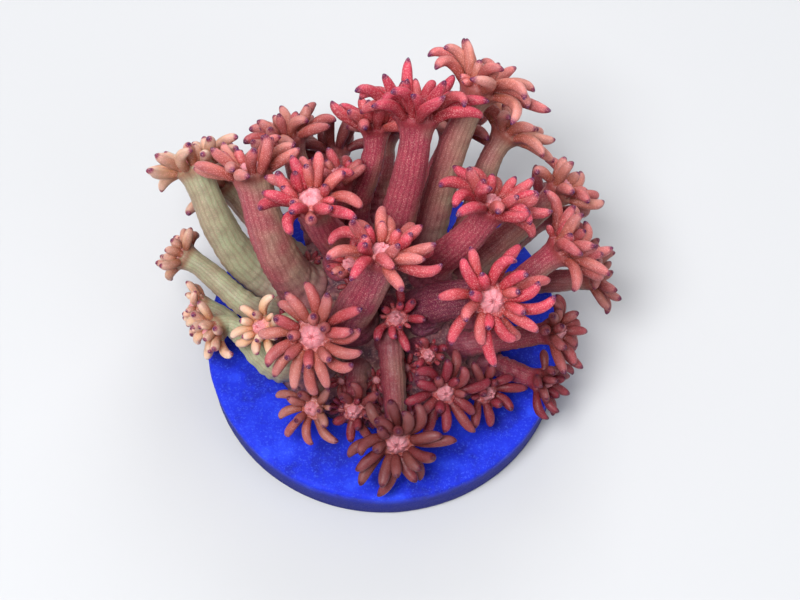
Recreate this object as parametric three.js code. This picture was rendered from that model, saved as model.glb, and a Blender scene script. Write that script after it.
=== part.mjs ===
// Flowerpot coral: a colony of long soft polyps on a domed skeleton, fixed to a round frag disc.
// Millimetres, +Z up. The origin is the centre of the disc's underside, and -Y is the colony's front.
import * as THREE from "three";

// Frag disc: a flat moulded tile whose wall narrows a little towards the foot.
const DISC_RADIUS = 19;
const DISC_FOOT_RADIUS = 18.8;
const DISC_THICKNESS = 4.5;
const DISC_EDGE_CHAMFER = 0.5;
const DISC_SIDES = 48;

// Clearance between pieces that touch.
const GAP = 0.3;

// Skeleton: a low dome, the part of an ellipsoid above its widest section.
const DOME_CENTRE_Y = 1;
const DOME_HALF_WIDTH = 13;
const DOME_HALF_DEPTH = 12;
const DOME_HEIGHT = 8.5;
const DOME_SIDES = 24;
const DOME_STEPS = 7;
const DOME_FOOT_RISE = 0.2;
// The skeleton's lumps: how far they vary, and for each wave its turn per mm in X, Y, Z and its start.
const LUMP_DEPTH = 0.45;
const LUMP_WAVES = [[0.9, 0.4, 0, 0], [0, 0.8, -0.7, 1]];

// A column is a tapered tube with this many rings above its root. It leaves the dome square to its
// surface, and BEND_SHARE of its reach is how far each end pulls the curve its own way.
const COLUMN_RINGS = 3;
const COLUMN_TOP_SHARE = 0.82;
const PATH_STEPS = 20;
const BEND_SHARE = 0.36;

// Crown: the column flares to a head, whose band of faces carries one tentacle each.
const BAND_LIFT = 0.5;
const BAND_HEIGHT = 0.85;
const BAND_TAPER = 0.9;
const MOUTH_LIFT = 0.6;
const TENTACLE_RADIUS = 0.58;
// A small head's tentacles are slimmer, so that they stay apart around it.
const TENTACLE_HEAD_SHARE = 0.33;
const TENTACLE_START_SHARE = 0.95;
const TENTACLE_STEPS = 5;

// A tentacle is a four-sided finger: each pair gives a step of its path and the share of its radius
// there. The fingers of a full crown have one more such ring, which shows their curl. A stub is
// slimmer, by its reach.
const STUB_SHARE = 0.3;
const FINGER_CORNERS = [[-1, -1], [1, -1], [1, 1], [-1, 1]];
const FULL_CROWN = 16;
const FINGER_RINGS = [[4, 0.87]];
const CURLED_RINGS = [[2, 0.76], [4, 0.87]];

// How far tentacles differ from their polyp's own values. Curl and swirl gather towards the tip.
const ALTERNATE_TILT = 15;
const TILT_RANGE = 24;
const CURL_RANGE = 85;
const BEND_POWER = 1.3;
const LEAST_SWIRL = 25;
const SWIRL_RANGE = 130;
const SPACING_RANGE = 0.25;
const ODD_LENGTH_SHARE = 0.92;
const EVEN_LENGTH_SHARE = 1.04;
const LENGTH_RANGE = 0.32;
const SLOTS_PER_TENTACLE = 7;

// Ways in which a tentacle gives way: degrees of tilt, and shares of its length and its swirl.
const GIVE_WAY = [
  [0, 1, 1], [0, 1, -1], [0, 1, 0.4], [-12, 1, 1], [12, 1, 1], [-12, 1, -1], [12, 1, -1],
  [0, 0.92, 0], [-22, 0.92, 0.4], [22, 0.92, 0.4], [-30, 0.85, -0.5], [30, 0.85, 0.5],
  [-12, 0.7, 0.4], [12, 0.7, -0.4], [-25, 0.6, 0.2], [25, 0.6, 0.2], [0, 0.5, 0], [-15, 0.4, 0], [0, 0.32, 0],
  [20, 0.3, 0], [-25, 0.3, 0], [35, 0.22, 0], [-10, 0.22, 0],
];
// What is left where no way is clear: stubs that only keep from crossing their own crown.
const STUB_WAYS = [[15, 0.22, 0], [-10, 0.22, 0], [40, 0.22, 0], [-30, 0.22, 0], [15, 0.14, 0]];

// Tentacles are kept apart as rows of balls; near the head those of one crown may touch.
const CLEARANCE = 0.35;
const BALL_SHARE = 0.95;
const OWN_BALLS_FROM = 2;

// One row for each polyp. root is where the column leaves the dome, head the crown's centre, and
// faces its compass and height angles. girth is the column's radius at the root. The crown has a
// head radius, a number of tentacles, their length, their tilt from the axis and their curl outwards.
const POLYPS = [
  { root: [0.8, 5], head: [3.4, 11.2, 28.3], faces: [84, 42], girth: 2, crown: [2.3, 16, 5.8, 30, 76] },
  { root: [4.4, 7.4], head: [9.3, 15.4, 27.2], faces: [57, 30], girth: 1.8, crown: [2.1, 16, 5.5, 36, 48] },
  { root: [7.9, 8.3], head: [12.4, 15.8, 18.6], faces: [48, 28], girth: 1.5, crown: [1.8, 12, 4.1, 46, 44] },
  { root: [-11.6, 4.3], head: [-19.2, 11, 19.2], faces: [113, 26], girth: 2.1, crown: [2.1, 14, 4.1, 54, 22] },
  { root: [-8.5, 2.2], head: [-13.1, 8, 23], faces: [107, 38], girth: 2.3, crown: [2.2, 16, 4.1, 42, 26] },
  { root: [-12.1, 0.6], head: [-20.4, 5.6, 11], faces: [153, 12], girth: 1.5, crown: [1.5, 10, 2.4, 46, 10] },
  { root: [-4, 4.6], head: [-6.9, 3.6, 25.4], faces: [130, 74], girth: 2, crown: [2.1, 16, 3.9, 44, 34] },
  { root: [-2.8, 9], head: [-0.8, 14.8, 21.2], faces: [90, 44], girth: 1.5, crown: [1.8, 12, 3.7, 44, 34] },
  { root: [-3, -2.6], head: [-0.3, -2.6, 25.2], faces: [60, 62], girth: 2.2, crown: [2.1, 16, 4.6, 40, 66] },
  { root: [4.8, 2.9], head: [10.4, 4, 23.3], faces: [50, 45], girth: 1.9, crown: [2.1, 16, 4.6, 42, 60] },
  { root: [9.6, -0.9], head: [17.6, 2.2, 18.4], faces: [22, 30], girth: 1.6, crown: [2, 14, 4.4, 40, 48] },
  { root: [4, -1.5], head: [10.4, -4.7, 21.5], faces: [297, 52], girth: 2.2, crown: [2.2, 16, 4.3, 50, 46] },
  { root: [7.8, -4.2], head: [17, -3.2, 11.3], faces: [-8, 33], girth: 1.4, crown: [1.6, 12, 3.4, 52, 34] },
  { root: [-6.6, -5.6], head: [-6.8, -7.1, 18.5], faces: [256, 54], girth: 2, crown: [2.2, 16, 4.1, 52, 40] },
  { root: [0.6, -4.4], head: [1.4, -14.4, 9.8], faces: [270, 38], girth: 1.4, crown: [2, 16, 4.1, 54, 46] },
  { root: [-10.4, -5.2], head: [-17, -1.8, 10], faces: [215, 12], girth: 1.5, crown: [1.5, 10, 2.5, 50, 20] },
  { root: [-8.3, -1.9], head: [-12, -3.4, 12.8], faces: [215, 52], girth: 1.3, crown: [1.4, 10, 2.6, 52, 25] },
  { root: [-6.8, -8.3], head: [-7, -10.6, 9.2], faces: [245, 50], girth: 1.15, crown: [1.4, 10, 3, 54, 28] },
  { root: [-2.6, -7.3], head: [-2.8, -11, 10], faces: [262, 42], girth: 1.2, crown: [1.4, 10, 2.5, 62, 8] },
  { root: [4.6, -7.7], head: [6, -9.6, 11], faces: [290, 48], girth: 1.3, crown: [1.6, 12, 3.4, 52, 36] },
  { root: [8.5, -7.1], head: [10, -8.4, 8.4], faces: [318, 36], girth: 1.2, crown: [1.5, 10, 3, 54, 30] },
  { root: [11.7, 3.4], head: [21, 3.4, 11], faces: [5, 14], girth: 1.5, crown: [1.5, 10, 3.2, 46, 32] },
  { root: [8.9, 4.3], head: [17.9, 10.2, 16.6], faces: [35, 30], girth: 1.6, crown: [1.8, 12, 3.7, 48, 38] },
  { root: [10.8, -4.6], head: [15.8, -6.6, 7.4], faces: [-28, 18], girth: 1.3, crown: [1.4, 10, 3.1, 52, 30] },
  { root: [-5.4, 7.9], head: [-4.4, 10.4, 18], faces: [115, 52], girth: 1.3, crown: [1.6, 12, 3.2, 46, 28] },
  { root: [3.4, 11.4], head: [7.2, 17.8, 16], faces: [72, 35], girth: 1.5, crown: [1.9, 12, 4.3, 50, 40] },
  { root: [-9.8, 7.6], head: [-16.4, 13.6, 11.8], faces: [135, 22], girth: 1.6, crown: [1.8, 12, 3.9, 52, 30] },
  { root: [-0.4, 1.4], head: [-3, 0.9, 17.6], faces: [200, 70], girth: 1.2, crown: [1.3, 10, 2.2, 48, -12] },
  { root: [-12.2, -2.2], head: [-18.6, 1.6, 7.6], faces: [172, 8], girth: 1.1, crown: [1.3, 10, 2.5, 50, 15] },
  { root: [-6.8, 10.4], head: [-9.8, 16.8, 15.8], faces: [112, 36], girth: 1.6, crown: [1.9, 14, 3.9, 52, 30] },
  { root: [-4, 11.9], head: [-5.4, 19, 9.4], faces: [104, 12], girth: 1.5, crown: [1.8, 12, 3.9, 52, 30] },
  { root: [-0.4, 11.6], head: [0, 19, 13.2], faces: [91, 26], girth: 1.5, crown: [1.8, 12, 3.7, 52, 30] },
  { root: [10.6, 6.8], head: [17, 12, 8.6], faces: [34, 8], girth: 1.5, crown: [1.7, 12, 3.7, 52, 30] },
  { root: [0.5, -1.2], head: [1.3, -3.6, 15.2], faces: [275, 68], girth: 1, crown: [1.4, 10, 2.1, 54, 0] },
  { root: [3.4, -5], head: [4.4, -6.4, 13], faces: [290, 52], girth: 0.9, crown: [1.2, 10, 2.6, 52, 22] },
];

const fraction = (value) => value - Math.floor(value);
const degrees = (value) => (value * Math.PI) / 180;

// A repeatable number from 0 to 1 for a polyp and a slot of its own.
function chance(polyp, slot) {
  return fraction(Math.sin(polyp * 127.1 + slot * 311.7) * 43758.5453);
}

function directionOf([compass, height]) {
  const flat = Math.cos(degrees(height));
  return new THREE.Vector3(
    flat * Math.cos(degrees(compass)),
    flat * Math.sin(degrees(compass)),
    Math.sin(degrees(height)),
  );
}

// The point of the dome's surface above x, y, and the surface's outward normal there.
function domeSurface(x, y) {
  const across = x / DOME_HALF_WIDTH;
  const deep = (y - DOME_CENTRE_Y) / DOME_HALF_DEPTH;
  const rise = Math.sqrt(Math.max(DOME_FOOT_RISE ** 2, 1 - across ** 2 - deep ** 2));
  const point = new THREE.Vector3(x, y, DISC_THICKNESS + GAP + DOME_HEIGHT * rise);
  const normal = new THREE.Vector3(
    across / DOME_HALF_WIDTH,
    deep / DOME_HALF_DEPTH,
    rise / DOME_HEIGHT,
  ).normalize();
  return { point, normal };
}

// The column's centre line, with a direction and an untwisted side vector at each step.
function columnPath(polyp) {
  const { point, normal } = domeSurface(...polyp.root);
  const start = point.addScaledVector(normal, GAP);
  const end = new THREE.Vector3(...polyp.head);
  const face = directionOf(polyp.faces);
  const reach = start.distanceTo(end);
  const curve = new THREE.CubicBezierCurve3(
    start,
    start.clone().addScaledVector(normal, reach * BEND_SHARE),
    end.clone().addScaledVector(face, -reach * BEND_SHARE),
    end,
  );
  const steps = [];
  const mostlyX = Math.abs(normal.x) > 0.9;
  let side = mostlyX ? new THREE.Vector3(0, 1, 0) : new THREE.Vector3(1, 0, 0);
  for (let k = 0; k <= PATH_STEPS; k++) {
    const along = curve.getTangent(k / PATH_STEPS);
    side = side.clone().addScaledVector(along, -side.dot(along)).normalize();
    steps.push({ point: curve.getPoint(k / PATH_STEPS), along, side });
  }
  return steps;
}

const columnRadius = (polyp, share) => polyp.girth * (1 - (1 - COLUMN_TOP_SHARE) * share);

// The centre line of one tentacle, from the head's band to its tip.
function tentaclePath(polyp, number, index, headStep, [tiltChange, lengthShare, swirlShare]) {
  const [headRadius, count, length, tilt, curl] = polyp.crown;
  const draw = (slot) => chance(number + 1, index * SLOTS_PER_TENTACLE + slot) - 0.5;
  const odd = index % 2 === 1;
  const axis = headStep.along;
  const turn = (2 * Math.PI * (index + draw(0) * SPACING_RANGE)) / count;
  const firstTilt =
    tilt + (odd ? -ALTERNATE_TILT : ALTERNATE_TILT) + draw(1) * TILT_RANGE + tiltChange;
  const ownCurl = curl + draw(2) * CURL_RANGE;
  const rowShare = odd ? ODD_LENGTH_SHARE : EVEN_LENGTH_SHARE;
  const ownLength = length * rowShare * (1 + draw(3) * LENGTH_RANGE) * lengthShare;
  const ownSwirl = Math.sign(draw(4)) * LEAST_SWIRL + draw(4) * SWIRL_RANGE;
  const swirl = degrees(ownSwirl * swirlShare);
  const out = headStep.side.clone().applyAxisAngle(axis, turn);
  const point = headStep.point
    .clone()
    .addScaledVector(axis, BAND_LIFT + BAND_HEIGHT / 2)
    .addScaledVector(out, headRadius * TENTACLE_START_SHARE);
  const path = [{ point: point.clone(), out, along: out }];
  for (let k = 0; k < TENTACLE_STEPS; k++) {
    const share = (k + 0.5) / TENTACLE_STEPS;
    const bent = share ** BEND_POWER;
    const angle = degrees(firstTilt + ownCurl * bent);
    const turned = out.clone().applyAxisAngle(axis, swirl * bent);
    const along = axis.clone().multiplyScalar(Math.cos(angle)).addScaledVector(turned, Math.sin(angle));
    point.addScaledVector(along, ownLength / TENTACLE_STEPS);
    path.push({ point: point.clone(), out: turned, along });
  }
  return path;
}

const touches = (ball, balls) =>
  balls.some((other) => ball.point.distanceTo(other.point) < ball.radius + other.radius + CLEARANCE);

// Whether a ball reaches into the disc or the dome.
function strikesGround({ point, radius }) {
  const across = point.x / DOME_HALF_WIDTH;
  const deep = (point.y - DOME_CENTRE_Y) / DOME_HALF_DEPTH;
  const high = (point.z - DISC_THICKNESS - GAP) / DOME_HEIGHT;
  const reach = Math.hypot(across, deep, high);
  const inDome = reach < 1 + (radius + GAP) / DOME_HEIGHT;
  const overDisc = Math.hypot(point.x, point.y) < DISC_RADIUS + radius + GAP;
  return inDome || (overDisc && point.z < DISC_THICKNESS + radius + GAP);
}

// A polyp's column and head as balls that its neighbours' tentacles keep clear of.
function bodyBalls({ polyp, column }) {
  const balls = column.map(({ point }, k) => ({ point, radius: columnRadius(polyp, k / PATH_STEPS) }));
  const { point, along } = column[PATH_STEPS];
  const middle = point.clone().addScaledVector(along, BAND_LIFT + BAND_HEIGHT / 2);
  return [...balls, { point: middle, radius: polyp.crown[0] }];
}

// A ring of points around a step of the column, the first turned back by a share of a side.
function ringPoints(step, radius, lift, number, shift) {
  return Array.from({ length: number }, (_, k) => {
    const turn = (2 * Math.PI * (k - shift)) / number;
    const out = step.side.clone().applyAxisAngle(step.along, turn);
    return step.point.clone().addScaledVector(step.along, lift).addScaledVector(out, radius);
  });
}

// The head's band: the lower and the upper ring that the tentacles grow between.
function bandRings({ polyp, column }) {
  const [headRadius, count] = polyp.crown;
  const head = column[PATH_STEPS];
  return [
    ringPoints(head, headRadius, BAND_LIFT, count, 0.5),
    ringPoints(head, headRadius * BAND_TAPER, BAND_LIFT + BAND_HEIGHT, count, 0.5),
  ];
}

// The triangles of one tentacle: from a face of the band along its rings to its tip.
function fingerTriangles({ polyp, column }, [lower, upper], index, path) {
  const [headRadius, count] = polyp.crown;
  const axis = column[PATH_STEPS].along;
  const next = (index + 1) % count;
  const reach = path[0].point.distanceTo(path[1].point) * TENTACLE_STEPS;
  const radius = Math.min(TENTACLE_RADIUS, headRadius * TENTACLE_HEAD_SHARE, reach * STUB_SHARE);
  const triangles = [];
  let last = [lower[index], lower[next], upper[next], upper[index]];
  for (const [step, share] of count < FULL_CROWN ? FINGER_RINGS : CURLED_RINGS) {
    const { point, out, along } = path[step];
    const across = axis.clone().cross(out).normalize();
    const above = along.clone().cross(across).normalize();
    const half = radius * share;
    const corners = FINGER_CORNERS.map(([sideways, up]) =>
      point.clone().addScaledVector(across, sideways * half).addScaledVector(above, up * half),
    );
    corners.forEach((corner, edge) => {
      const after = (edge + 1) % corners.length;
      triangles.push([last[edge], last[after], corners[after]]);
      triangles.push([last[edge], corners[after], corner]);
    });
    last = corners;
  }
  const tip = path[TENTACLE_STEPS].point;
  last.forEach((corner, edge) => triangles.push([corner, last[(edge + 1) % last.length], tip]));
  return triangles;
}

// Whether an edge of the first triangle passes through the second.
function pierces(first, [a, b, c]) {
  return first.some((start, k) => {
    const end = first[(k + 1) % 3];
    const ray = new THREE.Ray(start, end.clone().sub(start).normalize());
    const hit = ray.intersectTriangle(a, b, c, false, new THREE.Vector3());
    return hit !== null && hit.distanceTo(start) < end.distanceTo(start);
  });
}

// Whether two tentacles cross, apart from triangles that meet at a corner of the band.
const cross = (some, others) =>
  some.some((one) =>
    others.some(
      (other) => !one.some((point) => other.includes(point)) && (pierces(one, other) || pierces(other, one)),
    ),
  );

// Every polyp's column and tentacles, each tentacle giving way to what is already there.
function growColony() {
  const grown = POLYPS.map((polyp, number) => ({ polyp, number, column: columnPath(polyp) }));
  const bodies = grown.map(bodyBalls);
  const placed = [];
  for (const one of grown) {
    const head = one.column[PATH_STEPS];
    const others = bodies.filter((_, k) => k !== one.number).flat();
    const ballsOf = (path) =>
      path.slice(1).map(({ point }, k) => ({
        point,
        radius: TENTACLE_RADIUS * BALL_SHARE,
        outer: k >= OWN_BALLS_FROM,
        owner: one,
      }));
    const clear = (path) =>
      ballsOf(path).every((ball) => {
        const near = placed.filter(({ owner, outer }) => owner !== one || (outer && ball.outer));
        return !strikesGround(ball) && !touches(ball, others) && !touches(ball, near);
      });
    one.band = bandRings(one);
    one.fingers = [];
    for (let index = 0; index < one.polyp.crown[1]; index++) {
      const bend = (way) => tentaclePath(one.polyp, one.number, index, head, way);
      const finger = (path) => fingerTriangles(one, one.band, index, path);
      const apart = (path) => {
        const made = finger(path);
        return [...one.fingers, made].every((other) => !cross(made, other));
      };
      const way =
        GIVE_WAY.find((choice) => clear(bend(choice)) && apart(bend(choice))) ??
        STUB_WAYS.find((choice) => apart(bend(choice))) ??
        STUB_WAYS[0];
      one.fingers.push(finger(bend(way)));
      placed.push(...ballsOf(bend(way)));
    }
  }
  return grown;
}

// A closed mesh of one polyp: column, head, mouth and one tapered tentacle on each face of the band.
function polypGeometry({ polyp, column, band: [lower, upper], fingers }) {
  const count = polyp.crown[1];
  const sides = count / 2;
  const triangles = [];
  const rings = Array.from({ length: COLUMN_RINGS + 1 }, (_, k) => {
    const step = column[Math.round((k * PATH_STEPS) / COLUMN_RINGS)];
    return ringPoints(step, columnRadius(polyp, k / COLUMN_RINGS), 0, sides, 0.25);
  });
  for (let k = 1; k < sides - 1; k++) {
    triangles.push([rings[0][0], rings[0][k + 1], rings[0][k]]);
  }
  for (let k = 0; k < COLUMN_RINGS; k++) {
    for (let j = 0; j < sides; j++) {
      const next = (j + 1) % sides;
      triangles.push([rings[k][j], rings[k][next], rings[k + 1][next]]);
      triangles.push([rings[k][j], rings[k + 1][next], rings[k + 1][j]]);
    }
  }
  const neck = rings[COLUMN_RINGS];
  for (let j = 0; j < sides; j++) {
    const next = (j + 1) % sides;
    const middle = 2 * j + 1;
    const end = (2 * j + 2) % count;
    triangles.push([neck[j], neck[next], lower[middle]]);
    triangles.push([neck[j], lower[middle], lower[2 * j]]);
    triangles.push([neck[next], lower[end], lower[middle]]);
  }
  const head = column[PATH_STEPS];
  const mouth = head.point.clone().addScaledVector(head.along, BAND_LIFT + BAND_HEIGHT + MOUTH_LIFT);
  upper.forEach((corner, k) => triangles.push([corner, upper[(k + 1) % count], mouth]));
  triangles.push(...fingers.flat());
  const origin = column[0].point;
  const positions = triangles.flat().flatMap((point) => point.clone().sub(origin).toArray());
  const geometry = new THREE.BufferGeometry();
  geometry.setAttribute("position", new THREE.Float32BufferAttribute(positions, 3));
  geometry.computeVertexNormals();
  return geometry;
}

// A solid of revolution about +Z from a list of [radius, height] points, lowest first.
function turned(profile, sides) {
  const points = profile.map(([radius, height]) => new THREE.Vector2(radius, height));
  return new THREE.LatheGeometry(points, sides).rotateX(Math.PI / 2);
}

function discGeometry() {
  return turned(
    [
      [0, 0],
      [DISC_FOOT_RADIUS, 0],
      [DISC_RADIUS, DISC_THICKNESS - DISC_EDGE_CHAMFER],
      [DISC_RADIUS - DISC_EDGE_CHAMFER, DISC_THICKNESS],
      [0, DISC_THICKNESS],
    ],
    DISC_SIDES,
  );
}

// The dome, with low lumps on its flanks that stay under the smooth ellipsoid.
function skeletonGeometry() {
  const profile = [[0, 0]];
  for (let k = 0; k <= DOME_STEPS; k++) {
    const angle = (k / DOME_STEPS) * (Math.PI / 2);
    profile.push([Math.cos(angle), Math.sin(angle)]);
  }
  profile[profile.length - 1][0] = 0;
  const geometry = turned(profile, DOME_SIDES);
  geometry.scale(DOME_HALF_WIDTH, DOME_HALF_DEPTH, DOME_HEIGHT);
  const place = geometry.getAttribute("position");
  for (let k = 0; k < place.count; k++) {
    const [x, y, z] = [place.getX(k), place.getY(k), place.getZ(k)];
    const heights = LUMP_WAVES.map(([inX, inY, inZ, start]) =>
      (1 + Math.sin(x * inX + y * inY + z * inZ + start)) / 2,
    );
    const hollow = (heights[0] + heights[1]) / heights.length;
    const shrink = 1 - (LUMP_DEPTH * hollow) / DOME_HALF_WIDTH;
    place.setXYZ(k, x * shrink, y * shrink, z * shrink);
  }
  geometry.computeVertexNormals();
  return geometry;
}

const material = (color, roughness) =>
  new THREE.MeshStandardMaterial({ color, roughness, metalness: 0 });
const discBlue = material(0x1c3ce6, 0.75);
const tissue = material(0x7a4a48, 0.8);
const pinkPolyp = material(0xc8525c, 0.6);
const tanPolyp = material(0xb09a76, 0.6);

function named(name, geometry, look) {
  const mesh = new THREE.Mesh(geometry, look);
  mesh.name = name;
  return mesh;
}

const colony = new THREE.Group();
colony.add(named("frag_disc", discGeometry(), discBlue));

const skeleton = named("skeleton", skeletonGeometry(), tissue);
skeleton.position.set(0, DOME_CENTRE_Y, DISC_THICKNESS + GAP);
colony.add(skeleton);

// The lower polyps on the colony's left flank are tan and green, the rest pink.
const TAN_SIDE_X = -11.5;
const TAN_BELOW_Z = 20;
for (const one of growColony()) {
  const [x, , z] = one.polyp.head;
  const look = x < TAN_SIDE_X && z < TAN_BELOW_Z ? tanPolyp : pinkPolyp;
  const name = "polyp_" + String(one.number + 1).padStart(2, "0");
  const mesh = named(name, polypGeometry(one), look);
  mesh.position.copy(one.column[0].point);
  colony.add(mesh);
}

export default colony;
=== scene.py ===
# Flowerpot coral on a frag disc: fine flesh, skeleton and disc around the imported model.
import math

import bpy
import numpy as np
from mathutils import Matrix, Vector, noise


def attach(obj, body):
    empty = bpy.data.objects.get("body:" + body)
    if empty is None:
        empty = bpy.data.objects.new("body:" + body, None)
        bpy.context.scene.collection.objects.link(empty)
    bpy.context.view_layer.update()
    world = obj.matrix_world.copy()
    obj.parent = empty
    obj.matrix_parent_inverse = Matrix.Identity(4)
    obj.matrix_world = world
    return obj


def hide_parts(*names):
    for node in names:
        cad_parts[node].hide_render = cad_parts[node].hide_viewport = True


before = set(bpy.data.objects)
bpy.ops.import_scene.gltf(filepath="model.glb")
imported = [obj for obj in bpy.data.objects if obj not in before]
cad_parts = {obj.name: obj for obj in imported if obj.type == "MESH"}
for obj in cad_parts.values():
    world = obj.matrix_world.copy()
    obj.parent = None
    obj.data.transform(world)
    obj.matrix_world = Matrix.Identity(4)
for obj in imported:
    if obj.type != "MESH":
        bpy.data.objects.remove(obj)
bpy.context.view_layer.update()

MM = 0.001
SEED_STEPS = (127.1, 311.7)
SEED_SCALE = 43758.5453

# Driving sizes in millimetres, the same as the solids'. The solids stand GAP apart.
DISC_RADIUS = 19.0
DISC_FOOT_RADIUS = 18.8
DISC_THICKNESS = 4.5
GAP = 0.3
DOME_CENTRE_Y = 1.0
DOME_HALF_WIDTH = 13.0
DOME_HALF_DEPTH = 12.0
DOME_HEIGHT = 8.5
DOME_FOOT_RISE = 0.2

# A column is a curve: BEND_SHARE of its reach is how far each end pulls it its own way.
COLUMN_TOP_SHARE = 0.82
PATH_STEPS = 20
BEND_SHARE = 0.36
LYING_NORMAL = 0.9

# The head's band of faces carries the tentacles. A small head's tentacles, and stubs, are slimmer.
BAND_LIFT = 0.5
BAND_HEIGHT = 0.85
BAND_TAPER = 0.9
TENTACLE_RADIUS = 0.58
TENTACLE_HEAD_SHARE = 0.33
STUB_SHARE = 0.3
TENTACLE_START_SHARE = 0.95
TENTACLE_STEPS = 5

# How far tentacles differ from their polyp's own values. Curl and swirl gather towards the tip.
ALTERNATE_TILT = 15
TILT_RANGE = 24
CURL_RANGE = 85
LEAST_SWIRL = 25
SWIRL_RANGE = 130
BEND_POWER = 1.3
SPACING_RANGE = 0.25
ODD_LENGTH_SHARE = 0.92
EVEN_LENGTH_SHARE = 1.04
LENGTH_RANGE = 0.32
SLOTS_PER_TENTACLE = 7

# In the fine flesh every other tentacle is rooted further in on the head, and joins the solid's
# path further out.
INNER_ROW_SHARE = 0.74
INNER_ROW_LIFT = 0.55
INNER_ROW_FADE = 0.75
# Its tips also hook, by up to HOOK_RANGE degrees.
HOOK_RANGE = 80
HOOK_POWER = 3

# Where each feature's random draws start.
FINGER_SHADE_SLOT = 700
INNER_SHADE_SLOT = 750
BUD_SHADE_SLOT = 90
SWELL_SLOT = 500
TAN_SLOT = 901
CUP_SLOT = 77
INNER_SLOT = 1000
INNER_PLACE_SLOT = 1400
FIRST_BUD = 2000
HOOK_SLOT = 3000
TWIST_SLOT = 3100

# Ways in which a tentacle gives way: degrees of tilt, and shares of its length and its swirl.
GIVE_WAY = [
    (0, 1, 1), (0, 1, -1), (0, 1, 0.4), (-12, 1, 1), (12, 1, 1), (-12, 1, -1), (12, 1, -1),
    (0, 0.92, 0), (-22, 0.92, 0.4), (22, 0.92, 0.4), (-30, 0.85, -0.5), (30, 0.85, 0.5),
    (-12, 0.7, 0.4), (12, 0.7, -0.4), (-25, 0.6, 0.2), (25, 0.6, 0.2), (0, 0.5, 0), (-15, 0.4, 0),
    (0, 0.32, 0), (20, 0.3, 0), (-25, 0.3, 0), (35, 0.22, 0), (-10, 0.22, 0),
]
# What is left where no way is clear: stubs that only keep from crossing their own crown.
STUB_WAYS = [(15, 0.22, 0), (-10, 0.22, 0), (40, 0.22, 0), (-30, 0.22, 0), (15, 0.14, 0)]

# Tentacles are kept apart as rows of balls; near the head those of one crown may touch.
CLEARANCE = 0.35
BALL_SHARE = 0.95
OWN_BALLS_FROM = 2
# The solids' tentacles are four-sided: a step of the path and the share of the radius for each ring.
FULL_CROWN = 16
SOLID_RINGS = [(4, 0.87)]
FULL_CROWN_RINGS = [(2, 0.76), (4, 0.87)]
CORNERS = ((-1, -1), (1, -1), (1, 1), (-1, 1))

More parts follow.
